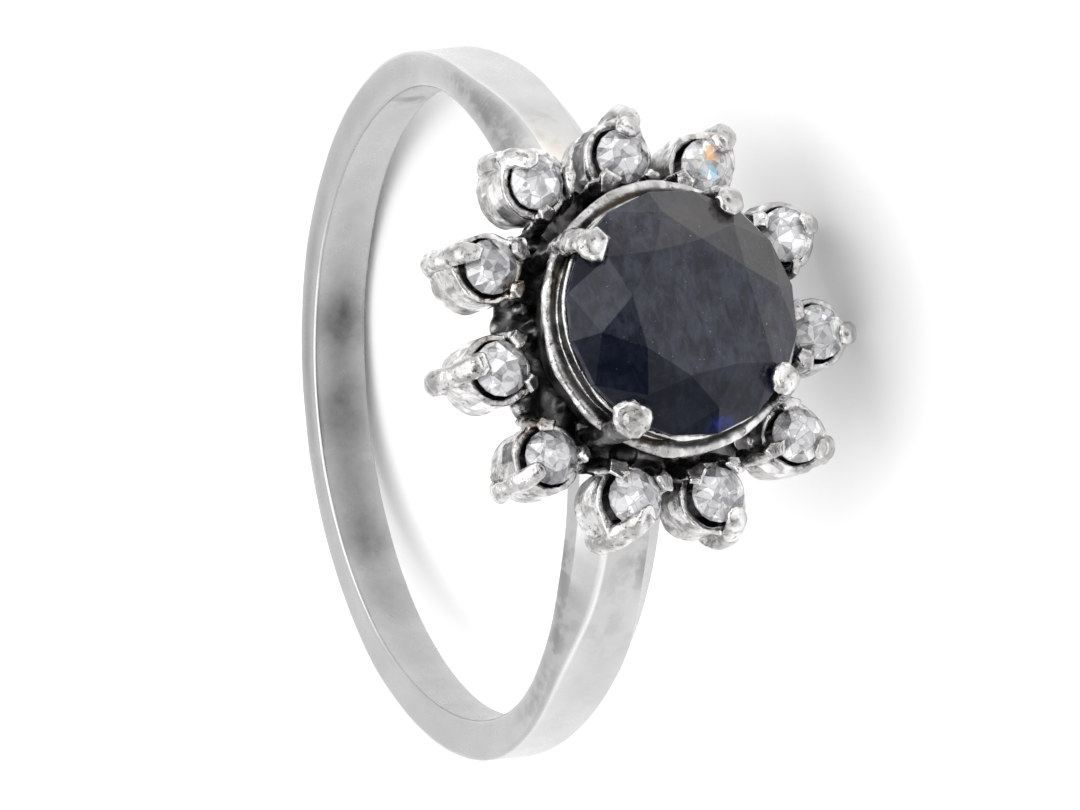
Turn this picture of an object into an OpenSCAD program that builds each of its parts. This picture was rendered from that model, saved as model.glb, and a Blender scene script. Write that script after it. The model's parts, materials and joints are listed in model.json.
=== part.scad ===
// Cluster ring: a round dark stone in a claw collet, circled by small round stones,
// each in a petal of its own, on a plain band with bevelled shoulders.
// The ring lies on its side, on one petal and on the back of its band.
// Every part is drawn in the ring's own frame first: X runs from the centre of the finger
// hole to the head, Y across the shoulders and Z along the finger. Inside the head modules
// the head's axis is Z instead, and petals are counted by their angle round it.

/* [Finger hole] */
// Radius of the finger hole
bore_r = 8.7; // [7.7:0.1:10.3]

/* [Band] */
// Thickness of the band at its back
band_t = 1.0; // [0.8:0.05:1.5]
// Width of the band at its back, along the finger
band_w = 1.6; // [1.4:0.05:2]
// Width of the shoulders where they meet the head
shoulder_w = 2.7; // [2.2:0.05:3.2]

/* [Centre stone] */
// Diameter of the centre stone at its girdle
centre_d = 6.7; // [6:0.1:7.4]
// Diameter of its table, corner to corner
centre_table_d = 3.75; // [3:0.05:4.5]
// Height of its crown
centre_crown = 0.9; // [0.6:0.05:1.2]
// Thickness of its girdle
centre_girdle = 0.2; // [0.1:0.02:0.3]
// Depth of its pavilion below the girdle
centre_pavilion = 2.7; // [2.2:0.05:3]
// Height of the girdle above the wall of the finger hole
head_rise = 5.15; // [4.8:0.05:6]

/* [Collet] */
// Thickness of the collet's wall
collet_wall = 0.3; // [0.24:0.02:0.4]
// Radius of the wire round the collet
rim_wire_r = 0.17; // [0.12:0.01:0.22]
// Drop of that wire below the centre stone's girdle
rim_drop = 0.86; // [0.7:0.02:1.2]
// Drop of the collet's upper edge below the stone's girdle
edge_drop = 0.1; // [0.04:0.02:0.2]
// Radius of the collet's foot on the band
foot_r = 2.3; // [2:0.05:2.8]
// How much the collet has widened where the gallery meets it
foot_flare = 0.5; // [0.3:0.05:0.7]
// Half width of a claw over the centre stone
claw_half_w = 0.42; // [0.3:0.02:0.5]
// Half thickness of that claw
claw_half_t = 0.26; // [0.2:0.01:0.32]
// How far the claws reach in over the girdle
claw_reach = 0.3; // [0.2:0.05:0.6]
// Height of the claws' ends above the girdle
claw_rise = 0.54; // [0.4:0.02:0.7]

/* [Small stones] */
// Diameter of a small stone
side_d = 1.5; // [1.3:0.05:1.6]
// Diameter of its table, corner to corner
side_table_d = 0.85; // [0.7:0.05:1]
// Height of its crown
side_crown = 0.26; // [0.2:0.02:0.34]
// Thickness of its girdle
side_girdle = 0.08; // [0.05:0.01:0.12]
// Depth of its pavilion
side_pavilion = 0.6; // [0.5:0.02:0.7]

/* [Petals] */
// Wall of a petal's cup round its stone
cup_wall = 0.2; // [0.16:0.02:0.3]
// Drop of the cup's rim below the girdle of its stone
cup_drop = 0.45; // [0.3:0.05:0.6]
// Depth of the cup's foot below the same girdle
cup_depth = 1.95; // [1.7:0.05:2.2]
// Gap from the centre stone's edge to the cups
petal_gap = 0.48; // [0.35:0.01:0.7]
// Drop of the small stones below the centre stone
petal_drop = 1.82; // [1.5:0.02:2.1]
// How far a petal's tip stands out from the middle of its stone
tip_reach = 1.56; // [1.4:0.02:1.7]
// Drop of the tip below the stone's girdle
tip_drop = 1.2; // [1:0.02:1.4]
// Half thickness of the petal's outer claw
petal_claw_r = 0.26; // [0.2:0.01:0.32]
// Its half width as a share of that
claw_flat = 1.25; // [1:0.05:1.4]
// Height of that claw's head above the crown of the stone
petal_claw_rise = 0.14; // [0.1:0.02:0.2]
// Radius of the two inner claws
inner_claw_r = 0.19; // [0.15:0.01:0.24]
// Radius of the small hole in the cup's foot
cup_hole_r = 0.3; // [0.2:0.02:0.4]
// Gap from the gallery's edge to the cups
gallery_gap = 0.12; // [0.06:0.02:0.3]
// Thickness of the gallery
gallery_t = 0.6; // [0.4:0.05:0.8]
// Radius of the arm that joins a petal to the gallery
arm_r = 0.38; // [0.3:0.01:0.45]
// Height of the arm above the cup's foot
arm_lift = 0.1; // [0:0.02:0.2]

/* [Clearances] */
// Gap between the centre stone and its seat
centre_gap = 0.04; // [0.02:0.01:0.08]
// Gap between a small stone and its cup
side_gap = 0.03; // [0.02:0.01:0.06]

/* [Rest] */
// Roll of the ring towards the petal that carries it, in degrees
rest_roll = -8.5; // [-12:0.5:-4]

/* [Hidden] */
// Angle from the head, thickness as a share of band_t, share of the way from band_w to
// shoulder_w for the inner width, then as shares of that width and thickness: the height
// where the bevel starts, the width there and the width of the outer face.
BAND = [
  [0, 1.30, 1.00, 0.50, 0.92, 0.46],
  [25, 1.26, 1.00, 0.50, 0.92, 0.46],
  [42, 1.10, 0.92, 0.52, 0.93, 0.52],
  [60, 0.88, 0.55, 0.70, 0.95, 0.80],
  [80, 0.98, 0.05, 0.82, 0.97, 0.86],
  [100, 1.12, -0.22, 0.85, 0.97, 0.86],
  [140, 1.05, -0.08, 0.86, 0.97, 0.86],
  [180, 0.98, 0.00, 0.86, 0.97, 0.86],
];
// Angle of each petal, its radius and its reach as shares of the usual ones, the turns of
// its tip and of its claw's head about the stone, and where that head ends as a share
// of the stone's radius.
PETALS = [
  [91.7, 0.96, 1.08, -30, -8, 1.00],
  [61.1, 0.985, 1.12, -22, -4, 0.95],
  [26.0, 0.995, 0.98, -10, -2, 0.80],
  [-7.2, 1.005, 1.04, 8, -8, 0.95],
  [-41.6, 1.04, 0.98, 22, -3, 1.00],
  [-76.4, 1.005, 0.88, 8, 5, 1.05],
  [-106.0, 0.985, 0.99, -20, 38, 0.90],
  [-137.6, 1.00, 1.04, -12, -10, 1.05],
  [-170.6, 0.975, 1.12, -6, -20, 1.15],
  [156.2, 1.015, 0.97, 4, -9, 1.15],
  [123.8, 1.03, 0.86, 10, -5, 0.95],
];
CLAW_ANGLES = [142, 59.5, -40, -127];
INNER_CLAW_TURNS = [132, -132];
// How far a petal's inner claws lean in over the stone, in degrees
inner_claw_lean = 10;
// The head of an inner claw as a share of its radius
inner_head = 1.12;
// Where a petal's outer claw leaves its cup and turns in over its stone, as shares of their
// radii, and how far its belly and its shoulder are pulled past the tip's reach and drop
claw_root = 0.7;
claw_root_turn = 0.5;
claw_head = 0.85;
belly_reach = 1.3;
belly_drop = 1.35;
shoulder_drop = 0.1;
// The blunt ends of a wire as a share of its thickness
wire_blunt = 0.62;
wire_steps = 7;
// Where a brilliant's stars end between table and girdle, and the width of the lower
// end of its halves, as shares
star_share = 0.53;
low_share = 0.3;
mains = 8;
// Turn of the centre stone in its collet, in degrees
stone_turn = -14.5;
// Room kept open above the stones when they are set
seat_rise = 1;
band_step = 5;

girdle_h = bore_r + head_rise;
centre_r = centre_d / 2;
side_r = side_d / 2;
cup_r = side_r + side_gap + cup_wall;
petal_ring_r = centre_r + petal_gap + cup_r;
petal_h = girdle_h - petal_drop;
cup_foot_h = petal_h - cup_depth;
foot_h = bore_r + band_t / 2;
collet_r = centre_r + rim_wire_r;
rim_h = girdle_h - rim_drop;

// The band's outline as shares, read between the rows of BAND along a smooth curve
function row_below(a, i = 0) =
  i >= len(BAND) - 2 || BAND[i + 1][0] > a ? i : row_below(a, i + 1);
function slope(i, col) =
  i == 0 || i == len(BAND) - 1 ? 0
    : (BAND[i + 1][col] - BAND[i - 1][col]) / (BAND[i + 1][0] - BAND[i - 1][0]);
function share(a, col) =
  let (i = row_below(a),
       span = BAND[i + 1][0] - BAND[i][0],
       t = (a - BAND[i][0]) / span,
       u = 1 - t)
  BAND[i][col] * (1 + 2 * t) * u * u + BAND[i + 1][col] * (1 + 2 * u) * t * t
    + slope(i, col) * span * t * u * u - slope(i + 1, col) * span * u * t * t;
function band_thick(a) = band_t * share(a, 1);
function band_half_w(a) = (band_w + (shoulder_w - band_w) * share(a, 2)) / 2;

// One section of the band, as radius and place along the finger
function band_section(a) =
  let (t = band_thick(a),
       w = band_half_w(a),
       low = bore_r - band_t / 2)
  [[low, -w], [bore_r + t * share(a, 3), -w * share(a, 4)], [bore_r + t, -w * share(a, 5)],
   [bore_r + t, w * share(a, 5)], [bore_r + t * share(a, 3), w * share(a, 4)], [low, w]];

module band_blank() {
  steps = 360 / band_step;
  n = 6;
  points = [for (k = [0 : steps - 1], p = band_section(abs(k * band_step - 180)))
            [p[0] * cos(k * band_step - 180), p[0] * sin(k * band_step - 180), p[1]]];
  faces = [for (k = [0 : steps - 1], j = [0 : n - 1])
           let (a = k * n + j, b = k * n + (j + 1) % n,
                c = ((k + 1) % steps) * n + (j + 1) % n, d = ((k + 1) % steps) * n + j)
           each [[a, b, c], [a, c, d]]];
  polyhedron(points, faces, convexity = 4);
}

// A stone cut with a table, stars, kites and halves, its girdle's middle at z = 0
module brilliant(d, table_d, crown, girdle, pavilion, n) {
  r = d / 2;
  tr = table_d / 2;
  mid_r = ((1 - star_share) * tr + star_share * r) / cos(90 / n);
  low_r = low_share * r / cos(180 / n);
  top = girdle / 2 + crown;
  mid_z = top - crown * (mid_r * cos(180 / n) - tr) / (r - tr);
  low_z = -girdle / 2 - pavilion * (1 - low_r * cos(180 / n) / r);
  step = 360 / n;
  table = [for (k = [0 : n - 1]) [tr * cos(k * step), tr * sin(k * step), top]];
  mids = [for (k = [0 : n - 1])
          [mid_r * cos((k + 0.5) * step), mid_r * sin((k + 0.5) * step), mid_z]];
  upper = [for (k = [0 : 2 * n - 1]) [r * cos(k * step / 2), r * sin(k * step / 2), girdle / 2]];
  lower = [for (p = upper) [p[0], p[1], -girdle / 2]];
  lows = [for (k = [0 : n - 1])
          [low_r * cos((k + 0.5) * step), low_r * sin((k + 0.5) * step), low_z]];
  m = n;
  u = 2 * n;
  v = 4 * n;
  w = 6 * n;
  tip = 7 * n;
  faces = concat(
    [[for (k = [n - 1 : -1 : 0]) k]],
    [for (k = [0 : n - 1])
      let (k1 = (k + 1) % n, e = 2 * k, o = 2 * k + 1, e1 = (2 * k + 2) % (2 * n))
      each [
        [k, k1, m + k],
        [k1, u + e1, m + k], [k1, m + k1, u + e1],
        [m + k, u + o, u + e], [m + k, u + e1, u + o],
        [u + e, u + o, v + o], [u + e, v + o, v + e],
        [u + o, u + e1, v + e1], [u + o, v + e1, v + o],
        [v + e, v + o, w + k], [v + o, v + e1, w + k],
        [w + k, v + e1, tip], [v + e1, w + k1, tip]]]);
  polyhedron(concat(table, mids, upper, lower, lows, [[0, 0, -girdle / 2 - pavilion]]), faces);
}

// A stone cut with a table and one row of facets above and below its girdle
module single_cut(d, table_d, crown, girdle, pavilion, n) {
  rings = [[table_d / 2, girdle / 2 + crown], [d / 2, girdle / 2], [d / 2, -girdle / 2]];
  points = concat(
    [for (ring = rings, k = [0 : n - 1]) polar(ring[0], k * 360 / n, ring[1])],
    [[0, 0, -girdle / 2 - pavilion]]);
  faces = concat(
    [[for (k = [n - 1 : -1 : 0]) k]],
    [for (i = [0 : 1], k = [0 : n - 1])
      let (a = i * n + k, b = i * n + (k + 1) % n)
      [a, b, b + n, a + n]],
    [for (k = [0 : n - 1]) [2 * n + k, 2 * n + (k + 1) % n, 3 * n]]);
  polyhedron(points, faces);
}

// The room that a stone needs in the metal, open above its table
module seat(d, table_d, crown, girdle, pavilion, gap) {
  r = d / 2 + gap;
  tr = table_d / 2 + gap;
  g = girdle / 2 + gap;
  rotate_extrude($fn = 48)
    polygon([[0, -g - pavilion], [r, -g], [r, g], [tr, g + crown],
             [tr, g + crown + seat_rise], [0, g + crown + seat_rise]]);
}

// A wire swept along points, flat or round, that narrows to a blunt end at both sides
function unit(v) = v / norm(v);
function along(path, i) = unit(path[min(i + 1, len(path) - 1)] - path[max(i - 1, 0)]);
module wire(path, half_t, half_w, across, sides = 8) {
  n = len(path);
  points = [for (i = [0 : n - 1])
            let (t = along(path, i), out = unit(cross(t, across)), side = cross(out, t))
            each [for (j = [0 : sides - 1])
                  path[i] + half_t[i] * cos(j * 360 / sides) * out
                    + half_w[i] * sin(j * 360 / sides) * side]];
  faces = concat(
    [[for (j = [sides - 1 : -1 : 0]) j]],
    [for (i = [0 : n - 2], j = [0 : sides - 1])
      let (a = i * sides + j, b = i * sides + (j + 1) % sides)
      each [[a, b, b + sides], [a, b + sides, a + sides]]],
    [[for (j = [0 : sides - 1]) (n - 1) * sides + j]]);
  polyhedron(points, faces, convexity = 4);
}
function bezier(p, t) =
  let (u = 1 - t)
  u * u * u * p[0] + 3 * u * u * t * p[1] + 3 * u * t * t * p[2] + t * t * t * p[3];
function polar(r, a, z) = [r * cos(a), r * sin(a), z];
function curve(ends) = [for (i = [0 : wire_steps]) bezier(ends, i / wire_steps)];
function blunted(half) =
  [for (i = [0 : wire_steps]) half * (i == 0 || i == wire_steps ? wire_blunt : 1)];

// Head modules: the head's axis is Z, heights are from the centre of the finger hole
module collet() {
  top = girdle_h - centre_girdle / 2 - edge_drop;
  rotate_extrude($fn = 72)
    polygon([[foot_r - collet_wall, foot_h], [foot_r, foot_h],
             [foot_r + foot_flare, cup_foot_h + gallery_t / 2],
             [collet_r, rim_h - 3 * rim_wire_r], [collet_r, rim_h], [centre_r, rim_h],
             [centre_r, top], [centre_r - collet_wall, top],
             [foot_r - collet_wall, cup_foot_h]]);
  translate([0, 0, rim_h])
    rotate_extrude($fn = 72)
      translate([collet_r, 0])
        circle(r = rim_wire_r, $fn = 16);
}

module gallery() {
  edge_r = petal_ring_r - cup_r - gallery_gap;
  inner_r = foot_r + collet_wall / 2;
  low = cup_foot_h + gallery_t / 4;
  rotate_extrude($fn = 72)
    polygon([[inner_r, low], [edge_r, low], [edge_r, low + gallery_t],
             [inner_r, low + gallery_t]]);
}

// The arm of a petal runs back from its cup through the gallery into the collet's wall
module arm() {
  length = petal_ring_r - foot_r - side_r;
  translate([-length - side_r - side_gap, 0, -cup_depth + arm_lift + arm_r])
    rotate([0, 90, 0])
      cylinder(h = length, r = arm_r, $fn = 20);
}

module claw(a) {
  ends = [polar(centre_r, a, cup_foot_h + cup_depth / 2),
          polar(collet_r + rim_wire_r, a, rim_h - claw_half_w),
          polar(collet_r + claw_half_t, a, girdle_h + centre_crown),
          polar(centre_r - claw_reach, a, girdle_h + claw_rise)];
  wire(curve(ends), blunted(claw_half_t), blunted(claw_half_w), polar(1, a + 90, 0));
}

// A petal's stone sits at the origin and the ring's head axis lies towards -X
module petal(p) {
  reach = tip_reach * p[2] - petal_claw_r;
  difference() {
    union() {
      translate([0, 0, -cup_depth])
        cylinder(h = cup_depth - cup_drop, r = cup_r, $fn = 32);
      arm();
    }
    translate([0, 0, -cup_depth - 0.01])
      cylinder(h = cup_depth - cup_drop + 0.02, r1 = cup_hole_r, r2 = side_r + side_gap, $fn = 32);
  }
  ends = [polar(cup_r * claw_root, p[3] * claw_root_turn, arm_lift - cup_depth),
          polar(reach * belly_reach, p[3], -tip_drop * belly_drop),
          polar(reach, p[3], -tip_drop * shoulder_drop),
          polar(side_r * p[5] * claw_head, p[4], side_crown + petal_claw_rise)];
  wire(curve(ends), blunted(petal_claw_r), blunted(petal_claw_r * claw_flat),
       polar(1, p[3] + 90, 0));
  for (turn = INNER_CLAW_TURNS)
    rotate([0, 0, turn])
      translate([side_r + side_gap + cup_wall / 2, 0, 0])
        rotate([0, -inner_claw_lean, 0]) {
          translate([0, 0, -cup_depth / 2])
            cylinder(h = cup_depth / 2 + side_crown, r = inner_claw_r, $fn = 16);
          translate([0, 0, side_crown])
            sphere(r = inner_claw_r * inner_head, $fn = 16);
        }
}

// Puts a petal, or the stone in it, in its place round the head
module at_petal(p) {
  rotate([0, 0, p[0]])
    translate([petal_ring_r * p[1], 0, petal_h])
      children();
}

module centre_seat() {
  translate([0, 0, girdle_h])
    rotate([0, 0, stone_turn])
      seat(centre_d, centre_table_d, centre_crown, centre_girdle, centre_pavilion, centre_gap);
}

module head() {
  difference() {
    union() {
      collet();
      gallery();
      for (a = CLAW_ANGLES) claw(a);
      for (p = PETALS) at_petal(p) petal(p);
    }
    centre_seat();
    for (p = PETALS)
      at_petal(p)
        seat(side_d, side_table_d, side_crown, side_girdle, side_pavilion, side_gap);
  }
}

// The height of the ring's lowest petal tip and of the band's lower back edge, when the
// head is lifted by a tilt, and the tilt that brings both down to the same surface
function up(tilt) =
  [sin(tilt), cos(tilt) * sin(rest_roll), cos(tilt) * cos(rest_roll)];
function tip_at(p) =
  let (r = petal_ring_r * p[1], reach = tip_reach * p[2] - petal_claw_r, a = p[0],
       x = r * cos(a) + reach * cos(a + p[3]), y = r * sin(a) + reach * sin(a + p[3]))
  [petal_h - tip_drop, y, -x];
function tip_low(tilt) = min([for (p = PETALS) tip_at(p) * up(tilt)]) - petal_claw_r;
function back_low(tilt) =
  let (n = up(tilt), r = bore_r + band_thick(180), w = band_half_w(180) * share(180, 5))
  -w * n[2] - r * norm([n[0], n[1]]);
function rest_tilt(low = 0, high = 40, left = 24) =
  let (mid = (low + high) / 2)
  left == 0 ? mid
    : tip_low(mid) < back_low(mid) ? rest_tilt(mid, high, left - 1) : rest_tilt(low, mid, left - 1);
tilt = rest_tilt();

// Lays the upright ring down as it rests
module laid() {
  rotate([0, -tilt, 0])
    rotate([rest_roll, 0, 0])
      children();
}
// Turns the head's own axis onto the ring's X
module on_ring() {
  rotate([0, 90, 0])
    children();
}

module band_and_setting() {
  color("silver")
    laid()
      difference() {
        union() {
          band_blank();
          on_ring() head();
        }
        cylinder(h = 4 * shoulder_w, r = bore_r, center = true, $fn = 180);
      }
}

module centre_stone() {
  color("midnightblue")
    laid()
      on_ring()
        translate([0, 0, girdle_h])
          rotate([0, 0, stone_turn])
            brilliant(centre_d, centre_table_d, centre_crown, centre_girdle, centre_pavilion, mains);
}

module side_stone(i) {
  color("aliceblue")
    laid()
      on_ring()
        at_petal(PETALS[i])
          rotate([0, 0, 180 / mains])
            single_cut(side_d, side_table_d, side_crown, side_girdle, side_pavilion, mains);
}

band_and_setting();
centre_stone();
for (i = [0 : len(PETALS) - 1])
  side_stone(i);
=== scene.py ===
"""The looks of the cluster ring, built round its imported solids.

Each piece is made in the ring's own frame and in millimetres: X runs from the centre of the
finger hole to the head, Y across the shoulders and Z along the finger. It is then laid down
into the row frame, in metres. Angles are in degrees. Round the head they are counted from
the side that lies down, and round the band from the head.
"""
import json
from collections import namedtuple
from math import acos, atan2, cos, degrees, exp, hypot, pi, radians, sin, sqrt, tan
from random import choice, seed, uniform

import bpy
import numpy as np
from mathutils import Matrix, Vector, noise
from mathutils.bvhtree import BVHTree


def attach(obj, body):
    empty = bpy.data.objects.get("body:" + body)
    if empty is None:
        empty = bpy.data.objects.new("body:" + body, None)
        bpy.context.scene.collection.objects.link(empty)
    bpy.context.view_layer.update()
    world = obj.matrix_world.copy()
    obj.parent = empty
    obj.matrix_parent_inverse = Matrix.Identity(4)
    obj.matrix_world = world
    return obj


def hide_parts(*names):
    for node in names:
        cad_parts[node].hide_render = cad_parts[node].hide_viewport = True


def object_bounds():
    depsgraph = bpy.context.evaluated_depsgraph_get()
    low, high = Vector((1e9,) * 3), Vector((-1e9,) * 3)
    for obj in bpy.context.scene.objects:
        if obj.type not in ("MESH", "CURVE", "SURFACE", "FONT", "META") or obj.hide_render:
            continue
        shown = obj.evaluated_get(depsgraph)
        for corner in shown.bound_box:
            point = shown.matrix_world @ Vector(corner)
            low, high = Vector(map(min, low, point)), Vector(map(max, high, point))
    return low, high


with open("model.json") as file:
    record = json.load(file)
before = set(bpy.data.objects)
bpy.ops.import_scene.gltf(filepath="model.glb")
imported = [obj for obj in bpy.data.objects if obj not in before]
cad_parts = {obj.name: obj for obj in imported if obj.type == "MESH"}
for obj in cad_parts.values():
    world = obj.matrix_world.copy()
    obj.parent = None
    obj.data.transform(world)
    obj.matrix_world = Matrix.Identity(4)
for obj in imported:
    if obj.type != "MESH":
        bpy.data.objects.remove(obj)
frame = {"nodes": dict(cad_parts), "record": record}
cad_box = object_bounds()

MM = 0.001
METAL_NODE = "band_and_setting"
BODY = "root"
seed(7)

# The ring's own frame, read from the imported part
bore = frame["record"]["mounts"][0]
HOLE_R = bore["dims"]["r_mm"]


def node_points(name):
    """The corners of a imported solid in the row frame, each once, in millimetres."""
    corners = np.array([v.co for v in frame["nodes"][name].data.vertices])
    return np.unique((corners / MM).round(3), axis=0)


FINGER = Vector(bore["axis"]).normalized()
stone_middle = Vector(node_points("centre_stone").mean(0))
TO_HEAD = (stone_middle - stone_middle.project(FINGER)).normalized()
ACROSS = FINGER.cross(TO_HEAD)
OWN = np.array([TO_HEAD, ACROSS, FINGER])

Stone = namedtuple("Stone", "top low y z r")


def measured(name):
    """The height of a stone's table and tip, its place round the head and its radius."""
    points = node_points(name) @ OWN.T
    middle = points.mean(0)
    r = np.hypot(points[:, 1] - middle[1], points[:, 2] - middle[2]).max()
    return Stone(points[:, 0].max(), points[:, 0].min(), middle[1], middle[2], r)


CENTRE = measured("centre_stone")
SIDES = [measured(name) for name in sorted(frame["nodes"]) if name.startswith("side_stone")]

# Sizes, as in the part
BAND_T = 1.0
BAND_W = 1.6
SHOULDER_W = 2.7
CENTRE_TABLE_R = 1.875
CENTRE_CROWN = 0.9
CENTRE_GIRDLE = 0.2
SIDE_CROWN = 0.26
SIDE_GIRDLE = 0.08
COLLET_WALL = 0.3
RIM_WIRE_R = 0.17
RIM_DROP = 0.86
EDGE_DROP = 0.1
FOOT_R = 2.3
FOOT_FLARE = 0.5
CLAW_HALF_W = 0.42
CLAW_HALF_T = 0.26
CLAW_REACH = 0.3
CLAW_RISE = 0.54
CUP_WALL = 0.2
CUP_GAP = 0.03
CUP_DEPTH = 1.95
CUP_HOLE_R = 0.3
TIP_REACH = 1.56
TIP_DROP = 1.2
PETAL_CLAW_R = 0.26
PETAL_CLAW_FLAT = 1.25
PETAL_CLAW_RISE = 0.14
INNER_CLAW_R = 0.19
GALLERY_T = 0.6
GALLERY_GAP = 0.12
ARM_R = 0.38
ARM_LIFT = 0.1


def girdle_of(stone):
    """The height of the middle of a small stone's girdle."""
    return stone.top - SIDE_CROWN - SIDE_GIRDLE / 2


GIRDLE_H = CENTRE.top - CENTRE_CROWN - CENTRE_GIRDLE / 2
RIM_H = GIRDLE_H - RIM_DROP
COLLET_R = CENTRE.r + RIM_WIRE_R
CUP_R = SIDES[0].r + CUP_GAP + CUP_WALL
CUP_FOOT_H = girdle_of(SIDES[0]) - CUP_DEPTH
PETAL_RING_R = float(np.mean([hypot(s.y, s.z) for s in SIDES]))

# Angle from the head, thickness as a share of BAND_T, share of the way from BAND_W to
# SHOULDER_W for the inner width, then as shares of that width and thickness: the height
# where the bevel starts, the width there and the width of the outer face
BAND = np.array([
    [0, 1.30, 1.00, 0.50, 0.92, 0.46],
    [25, 1.26, 1.00, 0.50, 0.92, 0.46],
    [42, 1.10, 0.92, 0.52, 0.93, 0.52],
    [60, 0.88, 0.55, 0.74, 0.95, 0.82],
    [80, 0.98, 0.05, 0.88, 0.97, 0.90],
    [100, 1.12, -0.22, 0.90, 0.97, 0.91],
    [140, 1.05, -0.08, 0.90, 0.97, 0.91],
    [180, 0.98, 0.00, 0.90, 0.97, 0.91],
])
# How far each edge of the band's section is rounded, and the steps along each straight side
SECTION_EDGES = (0.09, 0.06, 0.06, 0.06, 0.06, 0.09)
SECTION_STEPS = (7, 6, 14, 6, 7, 14)
# For each petal: its reach as a share of TIP_REACH, the turns of its tip and of its outer
# claw's head, and where that head ends as a share of the stone's radius; then how far the
# wall is drawn out to the tip, as a share, how far the rim lies below the girdle, how far the
# claw's top leans in and how thick the claw is
PETALS = [
    (1.08, -30, -8, 1.00, 0.9, 0.30, 0.00, 1.00),
    (1.12, -22, -4, 0.95, 0.9, 0.33, 0.12, 0.95),
    (0.98, -10, -2, 0.80, 0.9, 0.24, 0.26, 0.90),
    (1.04, 8, -8, 0.95, 0.9, 0.24, 0.30, 0.90),
    (0.98, 22, -3, 1.00, 0.3, 0.28, 0.24, 0.95),
    (0.88, 8, 5, 1.05, 0.9, 0.34, -0.12, 1.00),
    (0.99, -20, 38, 0.90, 0.8, 0.32, 0.00, 1.00),
    (1.04, -12, -10, 1.05, 0.3, 0.26, 0.00, 0.85),
    (1.12, -6, -20, 1.15, 0.9, 0.22, 0.00, 1.00),
    (0.97, 4, -9, 1.15, 0.9, 0.17, 0.00, 1.00),
    (0.86, 10, -5, 0.95, 0.8, 0.13, 0.00, 1.00),
]
CLAW_ANGLES = (142, 59.5, -40, -127)
STONE_TURN = -14.5
# The two inner claws of each petal: turn from its outer claw, half length away from the
# stone and half width round it
INNER_CLAWS = [
    ((136, 0.40, 0.34), (-136, 0.36, 0.26)),
    ((146, 0.36, 0.40), (-132, 0.30, 0.34)),
    ((125, 0.30, 0.32), (-114, 0.32, 0.22)),
    ((143, 0.28, 0.36), (-121, 0.32, 0.36)),
    ((145, 0.26, 0.38), (-116, 0.38, 0.26)),
    ((132, 0.32, 0.34), (-149, 0.34, 0.38)),
    ((128, 0.34, 0.36), (-134, 0.36, 0.30)),
    ((136, 0.24, 0.28), (-124, 0.26, 0.34)),
    ((139, 0.28, 0.28), (-134, 0.32, 0.32)),
    ((157, 0.26, 0.30), (-131, 0.40, 0.44)),
    ((150, 0.26, 0.32), (-128, 0.22, 0.56)),
]
# How far the metal between a petal and the next reaches out, and the radii of its lumps
WEBS = (0.4, 0.4, 0.4, 0.4, 1.0, 0.4, 0.5, 0.4, 0.4, 0.4, 0.4)
WEB_RADII = (0.32, 0.3, 0.42)
# The bead of solder round the gallery's edge, and the lumps on each petal's arm: how many,
# how big, how far from the head's axis, how far up, and how many degrees to either side
BEAD_R = 0.28
LUMPS = 4
LUMP_SIZES = (0.2, 0.36)
LUMP_REACH = (2.9, 3.6)
LUMP_RISE = 0.6
LUMP_STRAY = 15
# Solder on the rim wire: angle, radius and size
SOLDER = [(158, 3.56, 0.24), (151, 3.6, 0.2), (-112, 3.55, 0.2), (75, 3.5, 0.17)]
# How far below the girdle each claw over the centre stone turns dark, and how dark it gets
CLAW_DARK = [(0.6, 0.8), (0.3, 0.8), (0.2, 0.8), (-0.35, 1.6)]
# The pad at the end of each of those claws: how far it lies outside the claw's own place,
# and its radius
CLAW_PADS = [(0.08, 0.50), (0.1, 0.40), (0.05, 0.44), (0.32, 0.56)]
# How wide and how bright the ridge is on the two shoulders, towards +Y and towards -Y: it is worn
# bright and painted with a highlight along its rounding
RIDGES = {1: (0.09, 0.3), -1: (0.04, 1.0)}
# Angles from the head between which that ridge comes in and goes out
RIDGE_FROM = (10, 30)
RIDGE_TO = (40, 95)
# Half the thickness of the pads on the centre, outer and inner claws, and how far they lean
PAD_T, PAD_LEAN = 0.16, 24
PETAL_PAD_T, PETAL_PAD_LEAN = 0.09, 28
INNER_PAD_T, INNER_PAD_LEAN = 0.11, 26
# The rounded end of each petal's outer claw: radii along the head's axis, outward and round it
HEAD_RADII = (0.21, 0.30, 0.34)
# Places along each claw, as shares of its length
ALONG = [t / 14 for t in range(15)]
# The width of a centre claw at its foot, and how much wider it gets, as shares
CLAW_FOOT_SHARE = 0.72
CLAW_WIDENS = 0.35
# The depth of the groove inside the rim wire, and the lip over it
GROOVE = 0.1
LIP_R = 0.09
# Where a painted highlight keeps the lip under the centre stone bright: angle and spread
LIP_HIGHLIGHT = (-100, 50)
# The thickness of a cup's rim
RIM_T = 0.2
# How each kind of piece is melted into one skin: the size of a cell, the rounds of smoothing
# and the share of its triangles that stay
MELTS = {
    "collet": (0.04, 3, 0.5),
    "gallery": (0.06, 28, 1.0),
    "claw": (0.035, 5, 1.0),
    "petal": (0.035, 2, 0.78),
}
# The soft noise that roughens each kind of piece: how far it moves the skin, and its size
WAVES = {
    "band": [(0.02, 2.2), (0.006, 0.7)],
    "collet": [(0.08, 1.1), (0.015, 0.3)],
    "gallery": [(0.12, 0.9), (0.01, 0.35)],
    "claw": [(0.10, 0.6), (0.035, 0.2)],
    "petal": [(0.08, 0.6), (0.018, 0.2)],
}
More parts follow.
